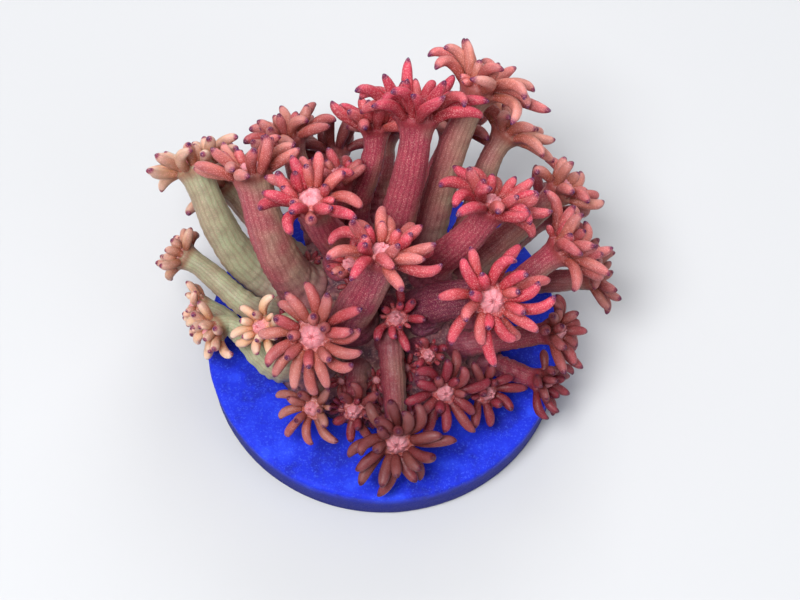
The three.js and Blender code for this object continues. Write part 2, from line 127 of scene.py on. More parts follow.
# One row for each polyp: root on the dome, head centre, compass and height that it faces, girth at
# the root, crown (head radius, tentacles, length, tilt, curl) and how tan it is, from 0 to 1.
POLYPS = [
    ((0.8, 5), (3.4, 11.2, 28.3), (84, 42), 2, (2.3, 16, 5.8, 30, 76), 0.0),
    ((4.4, 7.4), (9.3, 15.4, 27.2), (57, 30), 1.8, (2.1, 16, 5.5, 36, 48), 0.35),
    ((7.9, 8.3), (12.4, 15.8, 18.6), (48, 28), 1.5, (1.8, 12, 4.1, 46, 44), 0.5),
    ((-11.6, 4.3), (-19.2, 11, 19.2), (113, 26), 2.1, (2.1, 14, 4.1, 54, 22), 0.95),
    ((-8.5, 2.2), (-13.1, 8, 23), (107, 38), 2.3, (2.2, 16, 4.1, 42, 26), 0.3),
    ((-12.1, 0.6), (-20.4, 5.6, 11), (153, 12), 1.5, (1.5, 10, 2.4, 46, 10), 0.8),
    ((-4, 4.6), (-6.9, 3.6, 25.4), (130, 74), 2, (2.1, 16, 3.9, 44, 34), 0.1),
    ((-2.8, 9), (-0.8, 14.8, 21.2), (90, 44), 1.5, (1.8, 12, 3.7, 44, 34), 0.05),
    ((-3, -2.6), (-0.3, -2.6, 25.2), (60, 62), 2.2, (2.1, 16, 4.6, 40, 66), 0.1),
    ((4.8, 2.9), (10.4, 4, 23.3), (50, 45), 1.9, (2.1, 16, 4.6, 42, 60), 0.05),
    ((9.6, -0.9), (17.6, 2.2, 18.4), (22, 30), 1.6, (2, 14, 4.4, 40, 48), 0.25),
    ((4, -1.5), (10.4, -4.7, 21.5), (297, 52), 2.2, (2.2, 16, 4.3, 50, 46), 0.0),
    ((7.8, -4.2), (17, -3.2, 11.3), (-8, 33), 1.4, (1.6, 12, 3.4, 52, 34), 0.2),
    ((-6.6, -5.6), (-6.8, -7.1, 18.5), (256, 54), 2, (2.2, 16, 4.1, 52, 40), 0.2),
    ((0.6, -4.4), (1.4, -14.4, 9.8), (270, 38), 1.4, (2, 16, 4.1, 54, 46), 0.25),
    ((-10.4, -5.2), (-17, -1.8, 10), (215, 12), 1.5, (1.5, 10, 2.5, 50, 20), 1.0),
    ((-8.3, -1.9), (-12, -3.4, 12.8), (215, 52), 1.3, (1.4, 10, 2.6, 52, 25), 1.0),
    ((-6.8, -8.3), (-7, -10.6, 9.2), (245, 50), 1.15, (1.4, 10, 3, 54, 28), 0.45),
    ((-2.6, -7.3), (-2.8, -11, 10), (262, 42), 1.2, (1.4, 10, 2.5, 62, 8), 0.1),
    ((4.6, -7.7), (6, -9.6, 11), (290, 48), 1.3, (1.6, 12, 3.4, 52, 36), 0.0),
    ((8.5, -7.1), (10, -8.4, 8.4), (318, 36), 1.2, (1.5, 10, 3, 54, 30), 0.1),
    ((11.7, 3.4), (21, 3.4, 11), (5, 14), 1.5, (1.5, 10, 3.2, 46, 32), 0.3),
    ((8.9, 4.3), (17.9, 10.2, 16.6), (35, 30), 1.6, (1.8, 12, 3.7, 48, 38), 0.35),
    ((10.8, -4.6), (15.8, -6.6, 7.4), (-28, 18), 1.3, (1.4, 10, 3.1, 52, 30), 0.05),
    ((-5.4, 7.9), (-4.4, 10.4, 18), (115, 52), 1.3, (1.6, 12, 3.2, 46, 28), 0.1),
    ((3.4, 11.4), (7.2, 17.8, 16), (72, 35), 1.5, (1.9, 12, 4.3, 50, 40), 0.25),
    ((-9.8, 7.6), (-16.4, 13.6, 11.8), (135, 22), 1.6, (1.8, 12, 3.9, 52, 30), 0.7),
    ((-0.4, 1.4), (-3, 0.9, 17.6), (200, 70), 1.2, (1.3, 10, 2.2, 48, -12), 0.15),
    ((-12.2, -2.2), (-18.6, 1.6, 7.6), (172, 8), 1.1, (1.3, 10, 2.5, 50, 15), 0.95),
    ((-6.8, 10.4), (-9.8, 16.8, 15.8), (112, 36), 1.6, (1.9, 14, 3.9, 52, 30), 0.3),
    ((-4, 11.9), (-5.4, 19, 9.4), (104, 12), 1.5, (1.8, 12, 3.9, 52, 30), 0.2),
    ((-0.4, 11.6), (0, 19, 13.2), (91, 26), 1.5, (1.8, 12, 3.7, 52, 30), 0.1),
    ((10.6, 6.8), (17, 12, 8.6), (34, 8), 1.5, (1.7, 12, 3.7, 52, 30), 0.2),
    ((0.5, -1.2), (1.3, -3.6, 15.2), (275, 68), 1, (1.4, 10, 2.1, 54, 0), 0.0),
    ((3.4, -5), (4.4, -6.4, 13), (290, 52), 0.9, (1.2, 10, 2.6, 52, 22), 0.0),
]


def chance(polyp, slot):
    """A repeatable number from 0 to 1 for a polyp and a slot of its own."""
    value = math.sin(polyp * SEED_STEPS[0] + slot * SEED_STEPS[1]) * SEED_SCALE
    return value - math.floor(value)


def unit(v):
    return v / np.linalg.norm(v)


def rotated(v, axis, angle):
    """The vector turned about a unit axis by the right-hand rule."""
    turned = v * math.cos(angle) + np.cross(axis, v) * math.sin(angle)
    return turned + axis * np.dot(axis, v) * (1 - math.cos(angle))


def direction_of(compass, height):
    """The unit vector of a compass angle and a height angle in degrees."""
    a, e = math.radians(compass), math.radians(height)
    return np.array([math.cos(e) * math.cos(a), math.cos(e) * math.sin(a), math.sin(e)])


def dome_surface(x, y):
    """The point of the smooth dome above x, y, and its outward normal."""
    across = x / DOME_HALF_WIDTH
    deep = (y - DOME_CENTRE_Y) / DOME_HALF_DEPTH
    rise = math.sqrt(max(DOME_FOOT_RISE**2, 1 - across**2 - deep**2))
    point = np.array([x, y, DISC_THICKNESS + GAP + DOME_HEIGHT * rise])
    normal = np.array([across / DOME_HALF_WIDTH, deep / DOME_HALF_DEPTH, rise / DOME_HEIGHT])
    return point, unit(normal)


class Column:
    """A polyp's centre line: a curve from the dome to the head, with an untwisted side vector."""

    def __init__(self, number):
        root, head, faces, self.girth, self.crown, _ = POLYPS[number]
        self.number = number
        point, normal = dome_surface(*root)
        start = point + normal * GAP
        end = np.array(head, float)
        reach = np.linalg.norm(end - start)
        bend = reach * BEND_SHARE
        self.knots = [start, start + normal * bend, end - direction_of(*faces) * bend, end]
        side = np.array([0.0, 1, 0]) if abs(normal[0]) > LYING_NORMAL else np.array([1.0, 0, 0])
        self.sides = []
        for k in range(PATH_STEPS + 1):
            along = self.tangent(k / PATH_STEPS)
            side = unit(side - along * np.dot(side, along))
            self.sides.append(side)

    def point(self, t):
        a, b, c, d = self.knots
        s = 1 - t
        return a * s**3 + b * 3 * s * s * t + c * 3 * s * t * t + d * t**3

    def tangent(self, t):
        a, b, c, d = self.knots
        s = 1 - t
        return unit((b - a) * s * s + (c - b) * 2 * s * t + (d - c) * t * t)

    def side(self, t):
        """The side vector at t, square to the curve there."""
        at = min(max(t, 0), 1) * PATH_STEPS
        low = min(int(at), PATH_STEPS - 1)
        mixed = self.sides[low] * (low + 1 - at) + self.sides[low + 1] * (at - low)
        along = self.tangent(min(max(t, 0), 1))
        return unit(mixed - along * np.dot(mixed, along))

    def radius(self, t):
        return self.girth * (1 - (1 - COLUMN_TOP_SHARE) * t)

    def chance(self, slot):
        return chance(self.number + 1, slot)

    def head(self):
        """The crown's centre, its axis and the side vector there."""
        return self.point(1), self.tangent(1), self.sides[PATH_STEPS]


def bent_path(point, axis, out, first, curl, length, swirl, steps, hook=0.0, twist=0.0):
    """A path that leans from the axis by the first angle, then curls, swirls and ends in a hook."""
    path = [(point, out, out)]
    for k in range(steps):
        share = (k + 0.5) / steps
        bent = share**BEND_POWER
        tip = share**HOOK_POWER
        angle = math.radians(first + curl * bent + hook * tip)
        turned = rotated(out, axis, swirl * bent + math.radians(twist) * tip)
        along = axis * math.cos(angle) + turned * math.sin(angle)
        point = point + along * length / steps
        path.append((point, turned, along))
    return path


def tentacle_path(column, index, way, steps=TENTACLE_STEPS, hook=0.0, twist=0.0):
    """Points, outward vectors and directions along one tentacle, from the head's band to its tip."""
    head_radius, count, length, tilt, curl = column.crown
    head, axis, side = column.head()
    tilt_change, length_share, swirl_share = way

    def draw(slot):
        return column.chance(index * SLOTS_PER_TENTACLE + slot) - 0.5

    odd = index % 2 == 1
    turn = 2 * math.pi * (index + draw(0) * SPACING_RANGE) / count
    first = tilt + (-ALTERNATE_TILT if odd else ALTERNATE_TILT) + draw(1) * TILT_RANGE + tilt_change
    own_curl = curl + draw(2) * CURL_RANGE
    row_share = ODD_LENGTH_SHARE if odd else EVEN_LENGTH_SHARE
    own_length = length * row_share * (1 + draw(3) * LENGTH_RANGE) * length_share
    swirl = math.radians((math.copysign(LEAST_SWIRL, draw(4)) + draw(4) * SWIRL_RANGE) * swirl_share)
    out = rotated(side, axis, turn)
    point = head + axis * (BAND_LIFT + BAND_HEIGHT / 2) + out * head_radius * TENTACLE_START_SHARE
    return bent_path(point, axis, out, first, own_curl, own_length, swirl, steps, hook, twist)


def fine_path(column, index, way):
    """The same tentacle in the fine flesh: hooked, and every other one rooted further in."""
    hook = HOOK_RANGE * (2 * column.chance(HOOK_SLOT + index) - 1)
    twist = HOOK_RANGE * (2 * column.chance(TWIST_SLOT + index) - 1)
    path = tentacle_path(column, index, way, FINE_STEPS, hook, twist)
    if index % 2 == 0:
        return path
    inward = (column.tangent(1) * INNER_ROW_LIFT - path[0][1]) * (1 - INNER_ROW_SHARE)
    inward = inward * column.crown[0]
    rooted = []
    for k, (point, turned, along) in enumerate(path):
        fade = max(0.0, 1 - k / FINE_STEPS / INNER_ROW_FADE)
        rooted.append((point + inward * fade, turned, along))
    return rooted


def strikes_ground(points, radius):
    """Whether any ball of this radius reaches into the disc or the dome."""
    across = points[:, 0] / DOME_HALF_WIDTH
    deep = (points[:, 1] - DOME_CENTRE_Y) / DOME_HALF_DEPTH
    high = (points[:, 2] - DISC_THICKNESS - GAP) / DOME_HEIGHT
    in_dome = np.sqrt(across**2 + deep**2 + high**2) < 1 + (radius + GAP) / DOME_HEIGHT
    over_disc = np.hypot(points[:, 0], points[:, 1]) < DISC_RADIUS + radius + GAP
    return bool(np.any(in_dome | (over_disc & (points[:, 2] < DISC_THICKNESS + radius + GAP))))


def touches(points, radius, others, other_radii):
    """Whether any ball comes within the clearance of the others."""
    gaps = np.linalg.norm(points[:, None] - others[None], axis=2)
    return bool(np.any(gaps < radius + other_radii + CLEARANCE))


def band_corners(column):
    """The lower and the upper corners of the solid head's band, which the tentacles grow between."""
    head_radius, count = column.crown[:2]
    head, axis, side = column.head()
    outs = [rotated(side, axis, 2 * math.pi * (k - 0.5) / count) for k in range(count)]
    rings = ((head_radius, BAND_LIFT), (head_radius * BAND_TAPER, BAND_LIFT + BAND_HEIGHT))
    return [[head + axis * lift + out * radius for out in outs] for radius, lift in rings]


def corners_of(axis, point, out, along, half):
    """The four corners of a ring of a tentacle."""
    across = unit(np.cross(axis, out))
    above = unit(np.cross(along, across))
    return [point + across * sideways * half + above * up * half for sideways, up in CORNERS]


def solid_tentacle(column, band, index, path):
    """The triangles of one tentacle of the solid, from a face of the band to its tip."""
    head_radius, count = column.crown[:2]
    lower, upper = band
    after = (index + 1) % count
    reach = np.linalg.norm(path[1][0] - path[0][0]) * TENTACLE_STEPS
    radius = min(TENTACLE_RADIUS, head_radius * TENTACLE_HEAD_SHARE, reach * STUB_SHARE)
    last = [lower[index], lower[after], upper[after], upper[index]]
    triangles = []
    for step, share in SOLID_RINGS if count < FULL_CROWN else FULL_CROWN_RINGS:
        ring = corners_of(column.tangent(1), *path[step], radius * share)
        for k, corner in enumerate(ring):
            after = (k + 1) % len(ring)
            triangles += [(last[k], last[after], ring[after]), (last[k], ring[after], corner)]
        last = ring
    tip = path[-1][0]
    triangles += [(corner, last[(k + 1) % len(last)], tip) for k, corner in enumerate(last)]
    return np.array(triangles)


def pierces(some, others):
    """For each pair of triangles, whether an edge of the first passes through the second."""
    starts = some[:, None]
    edges = np.roll(some, -1, axis=1)[:, None] - starts
    corner, second, third = (others[None, :, None, k] for k in range(3))
    one, two = second - corner, third - corner
    normal = np.cross(one, two)
    offset = starts - corner
    with np.errstate(divide="ignore", invalid="ignore"):
        facing = (edges * normal).sum(-1)
        a = (edges * np.cross(offset, two)).sum(-1) / facing
        b = (edges * np.cross(one, offset)).sum(-1) / facing
        share = -(offset * normal).sum(-1) / facing
        return ((a >= 0) & (b >= 0) & (a + b <= 1) & (share >= 0) & (share < 1)).any(-1)


def cross(some, others):
    """Whether triangles cross, apart from those that meet at a corner."""
    meet = (some[:, None, :, None] == others[None, :, None]).all(-1).any((2, 3))
    return bool((~meet & (pierces(some, others) | pierces(others, some).T)).any())


def body_balls(column):
    """A column and its head as balls that the neighbours' tentacles keep clear of."""
    shares = [k / PATH_STEPS for k in range(PATH_STEPS + 1)]
    middle = column.point(1) + column.tangent(1) * (BAND_LIFT + BAND_HEIGHT / 2)
    points = [column.point(t) for t in shares] + [middle]
    return np.array(points), np.array([column.radius(t) for t in shares] + [column.crown[0]])


def balls_of(path):
    return np.array([place for place, _, _ in path[1:]])


def grow_colony():
    """Every column, and the way that each tentacle gives to what is already there."""
    columns = [Column(number) for number in range(len(POLYPS))]
    bodies = [body_balls(column) for column in columns]
    radius = TENTACLE_RADIUS * BALL_SHARE
    placed = np.zeros((0, 3))
    ways = []
    for column in columns:
        neighbours = [body for one, body in zip(columns, bodies) if one is not column]
        others, other_radii = (np.concatenate(parts) for parts in zip(*neighbours))
        band = band_corners(column)
        own = np.zeros((0, TENTACLE_STEPS, 3))
        fingers = []
        chosen = []
        for index in range(column.crown[1]):

            def tried(some):
                return ((way, tentacle_path(column, index, way)) for way in some)

            def clear(path):
                balls = balls_of(path)
                outer = own[:, OWN_BALLS_FROM:].reshape(-1, 3)
                return not (
                    strikes_ground(balls, radius)
                    or touches(balls, radius, others, other_radii)
                    or touches(balls, radius, placed, radius)
                    or touches(balls[OWN_BALLS_FROM:], radius, outer, radius)
                )

            def apart(path):
                made = solid_tentacle(column, band, index, path)
                return not cross(made, np.concatenate([*fingers, made]))

            free = (one for one in tried(GIVE_WAY) if clear(one[1]) and apart(one[1]))
            stubs = (one for one in tried(STUB_WAYS) if apart(one[1]))
            way, path = next(free, None) or next(stubs, None) or next(tried(STUB_WAYS))
            own = np.concatenate([own, balls_of(path)[None]])
            fingers.append(solid_tentacle(column, band, index, path))
            chosen.append(way)
        placed = np.concatenate([placed, own.reshape(-1, 3)])
        ways.append(chosen)
    return columns, ways


# Fine shape of a polyp. Smoothing draws four-cornered rings in to about two thirds, which CAGE_SWELL
# makes up for.
CAGE_SWELL = 1.52
# Stations along a tentacle: share of its length, and its radius there.
FINGER = [
    (0.06, 0.46), (0.2, 0.53), (0.38, 0.6), (0.56, 0.62), (0.73, 0.56), (0.86, 0.44), (0.95, 0.26),
    (1.0, 0.08),
]
INNER_FINGER = [FINGER[0], FINGER[2], FINGER[4], FINGER[6], FINGER[7]]
FINE_STEPS = 25
# Stations along a column: share of its length, and its radius as a share of the plain taper. Below
# the root the first is a depth in millimetres, inside the skeleton.
STALK = [
    (-1.1, 1.38), (0.0, 1.22), (0.07, 1.07), (0.16, 1.01), (0.27, 1.0), (0.38, 1.02), (0.5, 1.0),
    (0.62, 1.01), (0.74, 0.99), (0.86, 0.96), (0.95, 0.97),
]
STALK_SWELL = 0.07
# Rings of the oral disc, from the tentacles in: share of the head's radius, lift above the band.
ORAL = [(0.58, 0.1), (0.53, 0.16), (0.47, 0.36), (0.38, 0.6), (0.24, 0.76), (0.11, 0.62), (0.045, 0.3)]
MOUTH_VALUES = [0.1, 0.35, 0.7, 1, 1, 0.9, 0.5]
# The mouth's slit is where its value is above SLIT_FROM.
SLIT_FROM = 0.85
MOUTH_STRETCH = 1.35
ORAL_SHARE = 0.78
FLARE_LIFT_SHARE = 0.15
# Short tentacles on the head's face, beside the mouth.
INNER_TILT = 30
INNER_LENGTH_SHARE = 0.62
INNER_CHANCE = 0.7
SUBDIVISIONS = 2

VALUES = ("tent", "t_along", "c_along", "mouth", "inner", "turn_cos", "turn_sin", "own", "on_head")


class Cage:
    """Points with named values, and the faces between them."""

    def __init__(self):
        self.points = []
        self.faces = []
        self.values = {name: [] for name in VALUES}

    def add(self, point, **values):
        self.points.append(point)
        for name in VALUES:
            self.values[name].append(values.get(name, 0.0))
        return len(self.points) - 1

    def band(self, lower, upper):
        count = len(lower)
        for k in range(count):
            after = (k + 1) % count
            self.faces.append((lower[k], lower[after], upper[after], upper[k]))


def stalk_rings(cage, column):
    """The column's rings, from inside the skeleton up to the head's lower edge."""
    rings = []
    for place, (t, swell) in enumerate(STALK):
        high = max(t, 0)
        centre = column.point(high) + column.tangent(0) * min(t, 0)
        bulge = 1 + STALK_SWELL * (column.chance(SWELL_SLOT + place) - 0.5)
        radius = column.radius(high) * swell * bulge
        along, side, count = column.tangent(high), column.side(t), column.crown[1]
        rings.append(ring_of(cage, centre, along, side, radius, 0, count, c_along=high))
    return rings


def ring_of(cage, centre, axis, side, radius, lift, count, **values):
    """A ring of points around the axis, with a corner on each side of every tentacle."""
    ring = []
    for k in range(count):
        turn = 2 * math.pi * (k - 0.5) / count
        point = centre + axis * lift + rotated(side, axis, turn) * radius
        ring.append(cage.add(point, turn_cos=math.cos(turn), turn_sin=math.sin(turn), **values))
    return ring


def slimness_of(path, head_radius):
    """How slim a tentacle is: those of a small head or a short reach are slimmer."""
    reach = sum(np.linalg.norm(after[0] - before[0]) for before, after in zip(path, path[1:]))
    slim = min(head_radius * TENTACLE_HEAD_SHARE, reach * STUB_SHARE) / TENTACLE_RADIUS
    return min(1, slim)


def finger(cage, path, axis, base, own, slimness, stations=FINGER):
    """One tentacle: four-cornered rings along its path from a face of the head's band."""
    last = base
    for share, radius in stations:
        at = share * FINE_STEPS
        low = min(int(at), FINE_STEPS - 1)
        (p0, o0, d0), (p1, o1, d1) = path[low], path[low + 1]
        mix = at - low
        point = p0 * (1 - mix) + p1 * mix
        out = unit(o0 * (1 - mix) + o1 * mix)
        along = unit(d0 * (1 - mix) + d1 * mix)
        corners = corners_of(axis, point, out, along, radius * slimness * CAGE_SWELL / math.sqrt(2))
        ring = []
        for corner, (_, up) in zip(corners, CORNERS):
            ring.append(cage.add(corner, tent=1.0, t_along=share, inner=up, own=own))
        cage.band(last, ring)
        last = ring
    cage.faces.append(tuple(last))


def inner_path(column, base, index):
    """The path of a short tentacle beside the mouth."""
    _, count, length, _, _ = column.crown
    _, axis, side = column.head()
    first_slot = INNER_SLOT + index * SLOTS_PER_TENTACLE
    draws = [column.chance(first_slot + slot) - 0.5 for slot in range(4)]
    out = rotated(side, axis, 2 * math.pi * index / count)
    first = INNER_TILT + draws[0] * TILT_RANGE
    own_length = length * INNER_LENGTH_SHARE * (1 + draws[1] * LENGTH_RANGE * 2)
    swirl = math.radians(draws[2] * SWIRL_RANGE)
    return bent_path(base, axis, out, first, draws[3] * CURL_RANGE, own_length, swirl, FINE_STEPS)


def head_cage(cage, column, neck, ways):
    """The head's flare and band with its tentacles, up to the ring where the oral disc starts."""
    head_radius, count = column.crown[:2]
    head, axis, side = column.head()
    flare = (column.radius(1) + head_radius) / 2
    lift = BAND_LIFT * FLARE_LIFT_SHARE
    flared = ring_of(cage, head, axis, side, flare, lift, count, c_along=1.0, on_head=0.6)
    lower = ring_of(cage, head, axis, side, head_radius, BAND_LIFT, count, c_along=1.0, on_head=1.0)
    cage.band(neck, flared)
    cage.band(flared, lower)
    edge = head_radius * ORAL_SHARE
    upper = ring_of(cage, head, axis, side, edge, BAND_LIFT + BAND_HEIGHT, count, on_head=1.0, inner=1.0)
    for k, way in enumerate(ways):
        after = (k + 1) % count
        path = fine_path(column, k, way)
        base = [lower[k], lower[after], upper[after], upper[k]]
        shade = column.chance(FINGER_SHADE_SLOT + k)
        finger(cage, path, axis, base, shade, slimness_of(path, head_radius))
    return upper


def inner_tentacles(cage, column, outer, ring):
    """The first ring of the oral disc, with a short tentacle on some of its faces."""
    for k in range(len(ring)):
        after = (k + 1) % len(ring)
        base = [outer[k], outer[after], ring[after], ring[k]]
        if k % 2 == 0 and column.chance(INNER_PLACE_SLOT + k) < INNER_CHANCE:
            middle = sum(cage.points[i] for i in base) / 4
            path = inner_path(column, middle, k)
            shade = column.chance(INNER_SHADE_SLOT + k)
            slim = slimness_of(path, column.crown[0])
            finger(cage, path, column.tangent(1), base, shade, slim, INNER_FINGER)
        else:
            cage.faces.append(tuple(base))


def oral_disc(cage, column, last):
    """The folded oral disc with the mouth's slit in its middle."""
    head_radius, count = column.crown[:2]
    head, axis, side = column.head()
    across = np.cross(axis, side)
    for place, ((share, lift), mouth) in enumerate(zip(ORAL, MOUTH_VALUES)):
        height = BAND_LIFT + BAND_HEIGHT + lift
        ring = ring_of(
            cage, head, axis, side, head_radius * share, height, count, on_head=1.0, mouth=mouth, inner=1.0
        )
        if mouth > SLIT_FROM:
            for i in ring:
                offset = cage.points[i] - head
                cage.points[i] = head + offset - across * np.dot(offset, across) * (1 - 1 / MOUTH_STRETCH)
        if place == 0:
            inner_tentacles(cage, column, last, ring)
        else:
            cage.band(last, ring)
        last = ring
    cage.faces.append(tuple(last))


def polyp_cage(column, ways):
    """The rough cage of a whole polyp."""
    cage = Cage()
    rings = stalk_rings(cage, column)
    cage.faces.append(tuple(reversed(rings[0])))
    for below, above in zip(rings, rings[1:]):
        cage.band(below, above)
    oral_disc(cage, column, head_cage(cage, column, rings[-1], ways))
    return cage


def added(name, data):
    """A new object of the data, in the scene."""
    made = bpy.data.objects.new(name, data)
    bpy.context.collection.objects.link(made)
    return made


def write_values(mesh, name, numbers):
    layer = mesh.attributes.new(name, "FLOAT", "POINT")
    layer.data.foreach_set("value", np.array(numbers, np.float32))


def numbers_of(items, key, width):
    flat = np.zeros(len(items) * width, np.float32)
    items.foreach_get(key, flat)
    return flat.reshape(-1, width)


def values_of(mesh, name):
    return numbers_of(mesh.attributes[name].data, "value", 1)[:, 0]


def points_of(mesh):
    return numbers_of(mesh.vertices, "co", 3)


def set_points(mesh, points):
    mesh.vertices.foreach_set("co", points.astype(np.float32).ravel())
    mesh.update()


def raise_points(mesh, points, millimetres):
    """Move each point along its normal."""
    normals = numbers_of(mesh.vertex_normals, "vector", 3)
    set_points(mesh, points + normals * (millimetres * MM)[:, None])


def smoothed(name, cage, levels=SUBDIVISIONS):
    """The cage as a subdivided mesh object, with its values kept as attributes."""
    mesh = bpy.data.meshes.new(name + "_cage")
    mesh.from_pydata([tuple(p * MM) for p in cage.points], [], cage.faces)
    for value, numbers in cage.values.items():
        write_values(mesh, value, numbers)
    rough = added(name + "_cage", mesh)
    surface = rough.modifiers.new("smooth", "SUBSURF")
    surface.levels = surface.render_levels = levels
    graph = bpy.context.evaluated_depsgraph_get()
    fine = bpy.data.meshes.new_from_object(rough.evaluated_get(graph))
    bpy.data.objects.remove(rough)
    bpy.data.meshes.remove(mesh)
    fine.name = name
    fine.shade_smooth()
    return added(name, fine)


def noise_at(points, offset=(0, 0, 0)):
    """Smooth noise about 0 at points in units of its lumps."""
    return np.array([noise.noise(Vector(p) + Vector(offset)) for p in points])


def fractal_at(points):
    """The same with finer lumps on it."""
    return np.array([noise.fractal(Vector(p), *OCTAVES) for p in points])


# Fall-off, gap and number of a fractal noise's octaves.
OCTAVES = (1.0, 2.0, 3)

# Relief on the flesh: depths and sizes in millimetres, and each polyp's step through the noise.
RIDGE_DEPTH = 0.024
WRINKLE_DEPTH = 0.085
WRINKLES_PER_MM = 6.5
WRINKLE_WAVER = 6
WAVER_SIZE = 2.5
WAVER_STEP = 7.3
LUMP_SIZE = 1.1
LUMP_STEP = 3.1
FLESH_LUMP = 0.05
MOUTH_LUMP = 0.12
MOUTH_FOLD = 0.07
# Column relief ends where the tentacles and the head start.
TENTACLE_FADE = 1.5
HEAD_FADE = 2
# Wrinkles are deepest low down: depth at the root, its fall up the column, and the least.
WRINKLE_SHARES = (1.15, 1.2, 0.22)


def relief(piece, number):
    """Lengthwise ridges and cross wrinkles on the column, soft lumps all over, folds by the mouth."""
    root, top, _, _, crown, _ = POLYPS[number]
    mesh = piece.data
    points = points_of(mesh)
    along = values_of(mesh, "c_along")
    tent = values_of(mesh, "tent")
    head = values_of(mesh, "on_head")
    mouth = values_of(mesh, "mouth")
    turn = np.arctan2(values_of(mesh, "turn_sin"), values_of(mesh, "turn_cos"))
    reach = np.linalg.norm(np.array(top) - dome_surface(*root)[0])
    stalk = (1 - np.clip(tent * TENTACLE_FADE, 0, 1)) * (1 - np.clip(head * HEAD_FADE, 0, 1))
    ridges = np.cos(turn * crown[1]) * RIDGE_DEPTH
    deepest, fall, least = WRINKLE_SHARES
    low = np.clip(deepest - along * fall, least, 1)
    waver = noise_at(points / (WAVER_SIZE * MM), (number * WAVER_STEP, 0, 0))
    rings = np.sin(along * reach * WRINKLES_PER_MM + waver * WRINKLE_WAVER) * WRINKLE_DEPTH * low
    lumps = noise_at(points / (LUMP_SIZE * MM), (0, number * LUMP_STEP, 0))
    folds = np.cos(turn * crown[1] / 2) * MOUTH_FOLD * np.clip(4 * mouth * (1.25 - mouth), 0, 1)
    shift = (ridges + rings) * stalk + lumps * (FLESH_LUMP + MOUTH_LUMP * mouth) + folds
    raise_points(mesh, points, shift)


def colour(red, green, blue):
    """A screen colour, 0 to 255, as linear light."""
    channels = []
    for value in (red, green, blue):
        c = value / 255
        channels.append(c / 12.92 if c <= 0.04045 else ((c + 0.055) / 1.055) ** 2.4)
    return (*channels, 1.0)


class Shader:
    """Short ways to make and join a material's nodes."""

    def __init__(self, name):
        self.material = bpy.data.materials.new(name)
        self.material.use_nodes = True
        self.tree = self.material.node_tree

    def put(self, value, socket):
        if isinstance(value, bpy.types.NodeSocket):
            self.tree.links.new(value, socket)
        else:
            socket.default_value = value

    def set(self, name, value):
        self.put(value, self.tree.nodes["Principled BSDF"].inputs[name])

    def node(self, kind, inputs, **settings):
        """A new node; inputs gives its sockets' values or sources by name, or in their order."""
        made = self.tree.nodes.new(kind)
        for key, value in settings.items():
            setattr(made, key, value)
        for key, value in inputs.items() if isinstance(inputs, dict) else enumerate(inputs):
            self.put(value, made.inputs[key])
        return made

    def value(self, name):
        return self.node("ShaderNodeAttribute", (), attribute_name=name).outputs["Fac"]

    def place(self):
        return self.node("ShaderNodeTexCoord", ()).outputs["Object"]

    def math(self, operation, *inputs, clamp=False):
        return self.node("ShaderNodeMath", inputs, operation=operation, use_clamp=clamp).outputs[0]

    def times(self, a, b):
        return self.math("MULTIPLY", a, b)

    def noise(self, size_mm, detail=3.0, roughness=0.5):
        scale = 1 / (size_mm * MM)
        inputs = {"Vector": self.place(), "Scale": scale, "Detail": detail, "Roughness": roughness}
        return self.node("ShaderNodeTexNoise", inputs).outputs["Fac"]

    def cells(self, size_mm):
        inputs = {"Vector": self.place(), "Scale": 1 / (size_mm * MM)}
        return self.node("ShaderNodeTexVoronoi", inputs).outputs["Distance"]

    def ramp(self, factor, *stops, mode="EASE"):
        made = self.node("ShaderNodeValToRGB", {"Fac": factor})
        made.color_ramp.interpolation = mode
        elements = made.color_ramp.elements
        while len(elements) < len(stops):
            elements.new(0.5)
        for element, (at, shade) in zip(elements, stops):
            element.position = at
            element.color = shade if isinstance(shade, tuple) else (shade, shade, shade, 1)
        return made.outputs["Color"]

    def mix(self, factor, a, b):
        inputs = {"Factor": factor, "A": a, "B": b}
        return self.node("ShaderNodeMix", inputs, data_type="RGBA").outputs["Result"]

    def bump(self, height, depth_mm, strength, below=None):
        inputs = {"Distance": depth_mm * MM, "Strength": strength, "Height": height}
        if below is not None:
            inputs["Normal"] = below
        return self.node("ShaderNodeBump", inputs).outputs["Normal"]


def finger_colours(s, tan, speckle):
    """Tentacles: brown-orange at the base, then pink or cream, with a dark violet point, and painted shade
    on their undersides.
    """
    along = s.value("t_along")
    pink = s.ramp(
        along,
        (0.0, colour(132, 26, 28)), (0.16, colour(160, 34, 44)), (0.45, colour(190, 50, 68)),
        (0.87, colour(208, 66, 90)), (0.95, colour(112, 22, 74)), (1.0, colour(30, 10, 84)),
    )
    cream = s.ramp(
        along,
        (0.0, colour(164, 104, 66)), (0.2, colour(204, 148, 104)), (0.5, colour(228, 186, 150)),
        (0.87, colour(238, 206, 180)), (0.95, colour(146, 66, 96)), (1.0, colour(44, 18, 88)),
    )
    mostly = s.math("ADD", tan, s.math("MULTIPLY_ADD", s.value("own"), 0.3, -0.15), clamp=True)
    fingers = s.mix(mostly, pink, cream)
    # Painted shade: the lower side of each tentacle is darkened towards deep red.
    painted_underside_shade = s.ramp(s.value("inner"), (0.0, 1.0), (0.7, 0.0))
    fingers = s.mix(s.times(painted_underside_shade, 0.35), fingers, colour(122, 18, 34))
    return s.mix(s.times(speckle, 0.42), fingers, colour(250, 186, 186))


